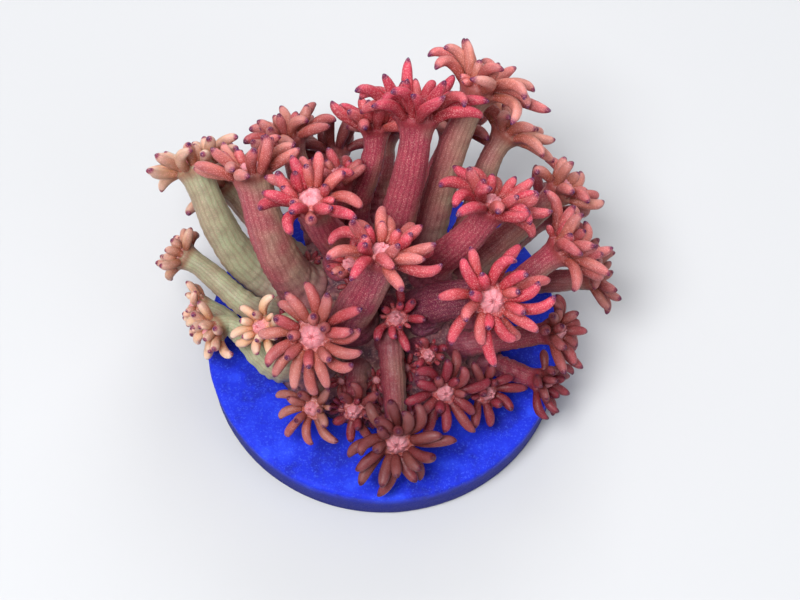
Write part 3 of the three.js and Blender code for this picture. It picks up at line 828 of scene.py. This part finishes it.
def column_colours(s, tan, speckle):
    """Columns: darker lines along them, greener on tan polyps and on one side, darkened at the root by
    painted shade, and plum on some, partly painted shade.
    """
    turn = s.math("ARCTAN2", s.value("turn_sin"), s.value("turn_cos"))
    waver = s.times(s.noise(1.6, 2.0), 0.3)
    lines = s.math("SINE", s.times(s.math("ADD", turn, waver), 20.0))
    stripe = s.ramp(s.math("MULTIPLY_ADD", lines, 0.5, 0.5), (0.0, 0.58), (0.5, 1.0))
    red = s.mix(stripe, colour(124, 32, 52), colour(168, 62, 82))
    # Plum columns: their own plum hue, made darker partly as painted shade.
    red = s.mix(s.value("plum"), red, s.mix(stripe, colour(84, 22, 50), colour(122, 40, 68)))
    green = s.mix(stripe, colour(150, 130, 108), colour(166, 174, 138))
    around = s.math("MULTIPLY_ADD", s.value("turn_cos"), 0.5, 0.5)
    patch = s.times(around, s.ramp(s.noise(3.0, 1.0), (0.2, 0.25), (0.8, 1.0)))
    leaning = s.math("ADD", tan, s.math("MULTIPLY_ADD", patch, 0.7, -0.2), clamp=True)
    column = s.mix(s.ramp(leaning, (0.1, 0.0), (1.0, 1.0), mode="LINEAR"), red, green)
    flecks = s.times(s.times(speckle, stripe), 0.42)
    column = s.mix(flecks, column, colour(226, 182, 168))
    # Painted shade: the lower part of each column, near the skeleton, is darkened.
    root = s.ramp(s.value("c_along"), (0.0, 1.0), (0.42, 0.0))
    return s.mix(s.times(root, 0.42), column, colour(112, 70, 92))


def head_colours(s, tan, speckle, column):
    """Head: a brown-orange disc with a pale pink mouth, and a darker collar under the tentacles."""
    oral = s.mix(tan, colour(184, 66, 66), colour(198, 124, 84))
    spots = s.ramp(s.noise(0.5, 3.0, 0.6), (0.45, 0.0), (0.62, 0.6))
    oral = s.mix(spots, oral, colour(236, 150, 154))
    mouth = s.ramp(s.value("mouth"), (0.05, 0.0), (0.5, 1.0))
    oral = s.mix(s.times(mouth, 0.85), oral, colour(246, 160, 172))
    oral = s.mix(s.times(speckle, 0.5), oral, colour(255, 206, 208))
    head = s.ramp(s.value("on_head"), (0.3, 0.0), (1.0, 1.0))
    facing = s.ramp(s.value("inner"), (0.35, 0.0), (0.8, 1.0))
    body = s.mix(s.times(head, facing), column, oral)
    collar = s.times(s.times(head, s.math("SUBTRACT", 1.0, facing)), 0.7)
    return s.mix(collar, body, s.mix(tan, colour(142, 40, 48), colour(150, 92, 66)))


def flesh_material():
    """Polyp flesh, pink or tan by each polyp's own values, and darkened by painted shade on low polyps."""
    s = Shader("polyp_flesh")
    tan = s.value("tan")
    speckle = s.ramp(s.noise(0.12, 2.0, 0.6), (0.5, 0.0), (0.66, 1.0))
    body = head_colours(s, tan, speckle, column_colours(s, tan, speckle))
    on_finger = s.ramp(s.value("tent"), (0.25, 0.0), (0.85, 1.0))
    base = s.mix(on_finger, body, finger_colours(s, tan, speckle))
    shadows = s.times(s.ramp(s.noise(1.6, 3.0), (0.3, 1.0), (0.6, 0.0)), 0.25)
    base = s.mix(shadows, base, colour(96, 26, 44))
    # Painted shade: by each piece's deep value, the tentacles are darkened towards deep maroon, and the
    # rest half as much.
    painted_shade_mask = s.times(s.value("deep"), s.ramp(s.value("tent"), (0.0, 0.5), (0.6, 1.0)))
    base = s.mix(painted_shade_mask, base, s.mix(0.78, base, colour(70, 10, 26)))

    s.set("Base Color", base)
    grain = s.bump(s.noise(0.16, 2.0, 0.6), 0.05, 0.6)
    s.set("Normal", s.bump(s.noise(0.7, 3.0), 0.1, 0.5, below=grain))
    s.set("Roughness", s.ramp(s.noise(0.5, 2.0), (0.3, 0.42), (0.7, 0.58)))
    s.set("Subsurface Weight", 0.22)
    s.set("Subsurface Radius", (1.0, 0.35, 0.3))
    s.set("Subsurface Scale", 0.7 * MM)
    s.set("Specular IOR Level", 0.32)
    return s.material


def disc_material():
    """Moulded blue disc: fine sandy grain, mottled, with painted shade darkening its wall."""
    s = Shader("disc_blue")
    top = s.ramp(
        s.noise(4.0, 4.0, 0.6),
        (0.34, colour(16, 34, 176)), (0.5, colour(20, 46, 216)), (0.66, colour(36, 70, 240)),
    )
    grain = s.noise(0.22, 3.0, 0.7)
    sparkle = s.times(s.ramp(grain, (0.52, 0.0), (0.68, 1.0)), 0.35)
    top = s.mix(sparkle, top, colour(92, 128, 255))
    split = s.node("ShaderNodeSeparateXYZ", [s.place()])
    height = s.math("DIVIDE", split.outputs["Z"], DISC_THICKNESS * MM)
    # Painted shade: the wall is darkened towards navy, most at its foot and fading out near the top's
    # edge.
    wall = s.ramp(height, (0.0, 1.0), (0.55, 0.85), (0.93, 0.0))
    base = s.mix(wall, top, colour(18, 26, 118))
    s.set("Base Color", base)
    coarse = s.bump(s.noise(1.4, 4.0, 0.6), 0.08, 0.5)
    s.set("Normal", s.bump(grain, 0.05, 0.8, below=coarse))
    s.set("Roughness", s.ramp(grain, (0.3, 0.62), (0.7, 0.82)))
    s.set("Specular IOR Level", 0.3)
    return s.material


def skeleton_material():
    """Thin living skin over the skeleton: dark plum, with paler rims, green-tan patches and painted shade
    in the cups' pits.
    """
    s = Shader("skeleton_skin")
    patch = s.noise(3.2, 4.0, 0.55)
    skin = s.ramp(
        patch,
        (0.34, colour(70, 34, 52)), (0.5, colour(104, 56, 66)), (0.64, colour(128, 92, 84)),
        (0.76, colour(132, 134, 100)),
    )
    rim = s.ramp(s.value("rim"), (0.15, 0.0), (0.9, 1.0))
    base = s.mix(s.times(rim, 0.45), skin, colour(150, 92, 92))
    # Painted shade: the cups' pits are darkened nearly to black.
    base = s.mix(s.times(s.value("pit"), 0.8), base, colour(44, 18, 34))
    fleck = s.ramp(s.noise(0.2, 2.0, 0.6), (0.55, 0.0), (0.68, 1.0))
    base = s.mix(s.times(fleck, 0.3), base, colour(206, 170, 156))
    s.set("Base Color", base)
    fine = s.bump(s.cells(0.45), 0.1, 0.5)
    s.set("Normal", s.bump(s.noise(0.2, 3.0, 0.6), 0.06, 0.7, below=fine))
    s.set("Roughness", 0.7)
    s.set("Subsurface Weight", 0.1)
    s.set("Subsurface Radius", (1.0, 0.4, 0.35))
    s.set("Subsurface Scale", 0.5 * MM)
    return s.material


def floor_material():
    s = Shader("floor_pale")
    s.set("Base Color", colour(204, 205, 207))
    s.set("Roughness", 0.9)
    return s.material


def finish_piece(piece, material, node):
    piece.data.materials.clear()
    piece.data.materials.append(material)
    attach(piece, "root")
    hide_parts(node)


# Painted shade: low polyps are darkened towards deep maroon, where less light reaches them, some crowns by
# a share of their own, and some columns are darker plum, partly their own hue and partly painted shade.
PAINTED_SHADE_BELOW = 20.0
PAINTED_SHADE_FADE = 10.0
TAN_RANGE = 0.1
PAINTED_SHADE_CROWNS = {11: 0.15, 14: 0.3, 15: 1.0, 19: 0.9}
PLUM_AND_SHADE_COLUMNS = {9: 0.4, 12: 1.0, 14: 0.3, 20: 0.5, 21: 0.5, 34: 0.8, 35: 0.8}


def tone(piece, tan, deep, plum):
    """Give the whole piece its tan, deep and plum values; deep is painted shade, and plum is partly
    painted shade.
    """
    for name, level in (("tan", tan), ("deep", deep), ("plum", plum)):
        write_values(piece.data, name, np.full(len(piece.data.vertices), level))


def build_polyps(material):
    columns, ways = grow_colony()
    for number, (_, head, _, _, _, tan) in enumerate(POLYPS):
        node = f"polyp_{number + 1:02d}"
        piece = smoothed(node + "_flesh", polyp_cage(columns[number], ways[number]))
        relief(piece, number)
        tan = min(1.0, max(0.0, tan + TAN_RANGE * (chance(number + 1, TAN_SLOT) - 0.5)))
        # Painted shade: the lower a pink polyp's head, the darker it is painted, and some crowns are
        # listed with a least share of it.
        low = min(1.0, max(0.0, (PAINTED_SHADE_BELOW - head[2]) / PAINTED_SHADE_FADE))
        deep = max(low * (1 - tan), PAINTED_SHADE_CROWNS.get(number + 1, 0.0))
        tone(piece, tan, deep, PLUM_AND_SHADE_COLUMNS.get(number + 1, 0.0))
        finish_piece(piece, material, node)


DISC_SEGMENTS = 240
DISC_TOP_RINGS = 46
DISC_WALL_RINGS = 12
DISC_FOOT_RINGS = 8
DISC_BEVEL = 0.45
DISC_FOOT_BEVEL = 0.35
DISC_SOFTNESS = 6
# Size and depth of the disc's unevenness.
DISC_SWELL = (3.0, 0.05)
DISC_GRAIN = (0.8, 0.03)


def disc_profile():
    """Radius and height pairs from the underside's centre, round the wall, to the top's centre."""
    foot = DISC_FOOT_RADIUS - DISC_FOOT_BEVEL
    profile = [(r, 0.0) for r in np.linspace(0, foot, DISC_FOOT_RINGS)[1:]]
    for k in range(1, DISC_SOFTNESS):
        a = math.pi / 2 * k / DISC_SOFTNESS
        profile.append((foot + DISC_FOOT_BEVEL * math.sin(a), DISC_FOOT_BEVEL * (1 - math.cos(a))))
    high = DISC_THICKNESS - DISC_BEVEL
    for k in range(DISC_WALL_RINGS):
        t = k / (DISC_WALL_RINGS - 1)
        radius = DISC_FOOT_RADIUS + (DISC_RADIUS - DISC_FOOT_RADIUS) * t
        profile.append((radius, DISC_FOOT_BEVEL + (high - DISC_FOOT_BEVEL) * t))
    for k in range(1, DISC_SOFTNESS + 1):
        a = math.pi / 2 * k / DISC_SOFTNESS
        inward = DISC_BEVEL * (1 - math.cos(a))
        profile.append((DISC_RADIUS - inward, high + DISC_BEVEL * math.sin(a)))
    inner = np.linspace(DISC_RADIUS - DISC_BEVEL, 0, DISC_TOP_RINGS)[1:-1]
    return profile + [(r, DISC_THICKNESS) for r in inner]


def revolved(name, profile, segments, low, high):
    """A closed mesh turned about Z from a profile between two points on the axis."""
    points = [(0, 0, low)]
    faces = []
    for radius, height in profile:
        for k in range(segments):
            a = 2 * math.pi * k / segments
            points.append((radius * math.cos(a), radius * math.sin(a), height))
    points.append((0, 0, high))
    top = len(points) - 1
    for k in range(segments):
        after = (k + 1) % segments
        faces.append((0, 1 + after, 1 + k))
        last = 1 + (len(profile) - 1) * segments
        faces.append((top, last + k, last + after))
        for ring in range(len(profile) - 1):
            a, b = 1 + ring * segments, 1 + (ring + 1) * segments
            faces.append((a + k, a + after, b + after, b + k))
    mesh = bpy.data.meshes.new(name)
    mesh.from_pydata([tuple(c * MM for c in p) for p in points], [], faces)
    mesh.shade_smooth()
    return added(name, mesh)


def build_disc(material):
    piece = revolved("frag_disc_cast", disc_profile(), DISC_SEGMENTS, 0.0, DISC_THICKNESS)
    mesh = piece.data
    points = points_of(mesh)
    shift = fractal_at(points / (DISC_SWELL[0] * MM)) * DISC_SWELL[1]
    fine = noise_at(points / (DISC_GRAIN[0] * MM)) * DISC_GRAIN[1]
    above = np.clip(points[:, 2] / MM, 0, 1)
    raise_points(mesh, points, (shift + fine) * above)
    finish_piece(piece, material, "frag_disc")


DOME_SEGMENTS = 240
DOME_RINGS = 72
DOME_FOOT_RINGS = 6
# The skin's lumps, how far it lies inside the plain dome and above the disc, and its fade at the foot.
SKIN_LUMP_SIZE = 2.6
SKIN_LUMP = 0.3
SKIN_SINK = 0.25
SKIN_LIFT = 0.02
SKIN_FOOT_FADE = 0.6
# Empty cups: their radius, and as shares of it the rim's place and width and the pit.
CUPS = 260
CUP_RADIUS = 0.62
CUP_JITTER = 0.03
CUP_RIM_AT = 0.85
CUP_RIM_WIDTH = 0.28
CUP_PIT = 0.7
CUP_RIM_RISE = 0.2
CUP_DEPTH = 0.32
# The skin rises a little around each column's root: shares of its girth, and millimetres.
COLLAR_REACH = 1.8
COLLAR_FADE = 0.6
COLLAR_RISE = 0.38
GOLDEN_TURN = math.pi * (3 - math.sqrt(5))


def on_half_ball(k, count, jitter=0.0):
    """Place k of a number of evenly spread places on the upper half of a ball of radius 1."""
    rise = (k + 0.5) / count
    flat = math.sqrt(1 - rise * rise)
    turn = k * GOLDEN_TURN + jitter
    return flat * math.cos(turn), flat * math.sin(turn), rise


def cup_shares(points, size):
    """How far each point is on a cup's rim and in its pit, from 0 to 1."""
    nearest = np.full(len(points), np.inf)
    for k in range(CUPS):
        centre = np.array(on_half_ball(k, CUPS, CUP_JITTER * (chance(k, CUP_SLOT) - 0.5))) * size
        nearest = np.minimum(nearest, np.linalg.norm(points - centre, axis=1))
    near = nearest / CUP_RADIUS
    return np.exp(-(((near - CUP_RIM_AT) / CUP_RIM_WIDTH) ** 2)), np.clip(1 - near / CUP_PIT, 0, 1)


def collar_shares(points):
    """How far each point lies in the collar of a column's root, from 0 to 1."""
    collar = np.zeros(len(points))
    for root, _, _, girth, _, _ in POLYPS:
        foot = dome_surface(*root)[0] - (0, DOME_CENTRE_Y, DISC_THICKNESS)
        near_root = np.linalg.norm(points - foot, axis=1) / girth
        collar = np.maximum(collar, np.clip((COLLAR_REACH - near_root) / COLLAR_FADE, 0, 1))
    return collar


def build_skeleton(material):
    """A lumpy dome, set with small empty cups between the polyps."""
    profile = [(f, 0.0) for f in np.linspace(0, 1, DOME_FOOT_RINGS)[1:-1]]
    for k in range(DOME_RINGS):
        a = math.pi / 2 * k / DOME_RINGS
        profile.append((math.cos(a), math.sin(a)))
    piece = revolved("skeleton_skin", profile, DOME_SEGMENTS, 0.0, 1.0)
    mesh = piece.data
    size = np.array([DOME_HALF_WIDTH, DOME_HALF_DEPTH, DOME_HEIGHT + GAP])
    points = points_of(mesh) / MM * size
    rim, pit = cup_shares(points, size)
    out = points / size
    out /= np.linalg.norm(out, axis=1, keepdims=True) + 1e-9
    wall = np.clip(points[:, 2] / SKIN_FOOT_FADE, 0, 1)
    collar = collar_shares(points)
    lumps = fractal_at(points / SKIN_LUMP_SIZE) * SKIN_LUMP - SKIN_SINK
    cups = (rim * CUP_RIM_RISE - pit * CUP_DEPTH) * (1 - collar)
    shift = (lumps + cups + collar * COLLAR_RISE) * wall
    points = points + out * shift[:, None]
    points[:, 1] += DOME_CENTRE_Y
    points[:, 2] += DISC_THICKNESS + SKIN_LIFT
    set_points(mesh, points * MM)
    write_values(mesh, "rim", rim * wall)
    write_values(mesh, "pit", pit * wall)
    finish_piece(piece, material, "skeleton")


# Small contracted polyps on the skeleton between the columns: a low mouth in a ring of stubs.
BUDS = 110
BUD_STUBS = 8
BUD_RADIUS = 0.5
BUD_NECK_SHARE = 0.8
BUD_MOUTH_SHARE = 0.35
BUD_MOUTH = 0.6
BUD_ROOM = 0.7
BUD_LENGTH = 1.35
BUD_TILT = 68
BUD_TILT_RANGE = 20
BUD_CURL = 25
BUD_SLIMNESS = 0.52
BUD_SINK = 0.45
BUD_RISE = 0.12
# The buds are darkened by painted shade, where they sit low between the columns.
BUD_PAINTED_SHADE = 0.75
BUD_SIDE = (0.3, 1.0, 0.2)
BUD_FINGER = [(0.12, 0.5), (0.4, 0.62), (0.7, 0.56), (0.92, 0.34), (1.0, 0.1)]
BUD_SUBDIVISIONS = 1


def bud(cage, place, axis, number):
    """Add one contracted polyp to the cage."""
    side = unit(np.cross(axis, BUD_SIDE))

    def ring(share, lift, **values):
        radius = BUD_RADIUS * share
        return ring_of(cage, place, axis, side, radius, lift, BUD_STUBS, on_head=1.0, **values)

    foot = ring(BUD_NECK_SHARE, -BUD_SINK)
    lower = ring(1, -BUD_SINK / 2)
    upper = ring(BUD_NECK_SHARE, BUD_RISE, inner=1.0)
    cage.faces.append(tuple(reversed(foot)))
    cage.band(foot, lower)
    for k in range(BUD_STUBS):
        after = (k + 1) % BUD_STUBS
        draws = [chance(number, k * SLOTS_PER_TENTACLE + slot) - 0.5 for slot in range(4)]
        out = rotated(side, axis, 2 * math.pi * k / BUD_STUBS)
        start = place + out * BUD_RADIUS * BUD_NECK_SHARE
        length = BUD_LENGTH * (1 + draws[0] * LENGTH_RANGE)
        first = BUD_TILT + draws[1] * BUD_TILT_RANGE
        curl = BUD_CURL + draws[3] * CURL_RANGE
        swirl = math.radians(draws[2] * SWIRL_RANGE)
        path = bent_path(start, axis, out, first, curl, length, swirl, FINE_STEPS)
        base = [lower[k], lower[after], upper[after], upper[k]]
        finger(cage, path, axis, base, chance(number, BUD_SHADE_SLOT + k), BUD_SLIMNESS, BUD_FINGER)
    mouth = ring(BUD_MOUTH_SHARE, BUD_RISE * 2, inner=1.0, mouth=BUD_MOUTH)
    cage.band(upper, mouth)
    cage.faces.append(tuple(mouth))


def build_buds(material):
    cage = Cage()
    for k in range(BUDS):
        across, deep, _ = on_half_ball(k, BUDS)
        x = DOME_HALF_WIDTH * across
        y = DOME_CENTRE_Y + DOME_HALF_DEPTH * deep
        place, axis = dome_surface(x, y)
        gaps = [np.hypot(x - root[0], y - root[1]) - girth for root, _, _, girth, _, _ in POLYPS]
        if min(gaps) > BUD_ROOM:
            bud(cage, place - axis * GAP, axis, FIRST_BUD + k)
    piece = smoothed("skeleton_buds", cage, BUD_SUBDIVISIONS)
    tone(piece, 0.0, BUD_PAINTED_SHADE, 0.0)
    finish_piece(piece, material, "skeleton")


# Half the floor's width and its drop below the disc, in metres.
FLOOR_HALF = 1.5
FLOOR_DROP = 0.0001


def build_floor(material):
    mesh = bpy.data.meshes.new("floor")
    corners = [(x * FLOOR_HALF, y * FLOOR_HALF, 0) for x, y in CORNERS]
    mesh.from_pydata(corners, [], [(0, 1, 2, 3)])
    mesh.materials.append(material)
    floor = added("floor", mesh)
    floor.location.z = -FLOOR_DROP


# Each light's name, place, target and width in metres, power in watts and tint.
COLONY_MIDDLE = (0, 0, 0.015)
WHITE = (1, 1, 1)
LIGHTS = [
    ("key", (-0.12, -0.16, 0.42), COLONY_MIDDLE, 0.22, 2.2, WHITE),
    ("fill", (0.34, -0.2, 0.24), COLONY_MIDDLE, 0.3, 0.3, (0.95, 0.97, 1.0)),
    ("back", (0.08, 0.36, 0.3), COLONY_MIDDLE, 0.25, 0.8, WHITE),
    ("overhead", (0, 0.3, 1.6), (0, 0.3, 0), 2.8, 9.0, WHITE),
]
WORLD_TINT = (0.86, 0.9, 1.0, 1)
WORLD_STRENGTH = 0.17


def area_light(name, place, target, size, power, tint):
    data = bpy.data.lights.new(name, "AREA")
    data.shape = "DISK"
    data.size = size
    data.energy = power
    data.color = tint
    lamp = added(name, data)
    lamp.location = place
    lamp.rotation_euler = (Vector(target) - Vector(place)).to_track_quat("-Z", "Y").to_euler()


def build_lights():
    for light in LIGHTS:
        area_light(*light)
    world = bpy.data.worlds.new("studio")
    world.use_nodes = True
    background = world.node_tree.nodes["Background"]
    background.inputs["Color"].default_value = WORLD_TINT
    background.inputs["Strength"].default_value = WORLD_STRENGTH
    bpy.context.scene.world = world
    bpy.context.scene.view_settings.view_transform = "Standard"


# The photograph's view: the disc's top is centred this far left of and below the frame's centre.
CAMERA_ELEVATION = 62.0
CAMERA_DISTANCE = 220.0
LENS = 92.0
SENSOR = 36.0
FRAME_WIDTH = 800
DISC_LEFT_PIXELS = 16.0
DISC_DOWN_PIXELS = 35.0
CLIP_START = 0.01


def build_camera():
    data = bpy.data.cameras.new("camera")
    data.lens = LENS
    data.sensor_width = SENSOR
    data.clip_start = CLIP_START
    camera = added("camera", data)
    e = math.radians(CAMERA_ELEVATION)
    pixel = CAMERA_DISTANCE / (LENS / SENSOR * FRAME_WIDTH)
    back = Vector((0, -math.cos(e), math.sin(e)))
    up = Vector((0, math.sin(e), math.cos(e)))
    aim = Vector((DISC_LEFT_PIXELS * pixel, 0, DISC_THICKNESS)) + up * DISC_DOWN_PIXELS * pixel
    camera.location = (aim + back * CAMERA_DISTANCE) * MM
    camera.rotation_euler = (-back).to_track_quat("-Z", "Y").to_euler()
    bpy.context.scene.camera = camera


build_camera()
build_lights()
build_floor(floor_material())
build_disc(disc_material())
build_skeleton(skeleton_material())
flesh = flesh_material()
build_buds(flesh)
build_polyps(flesh)
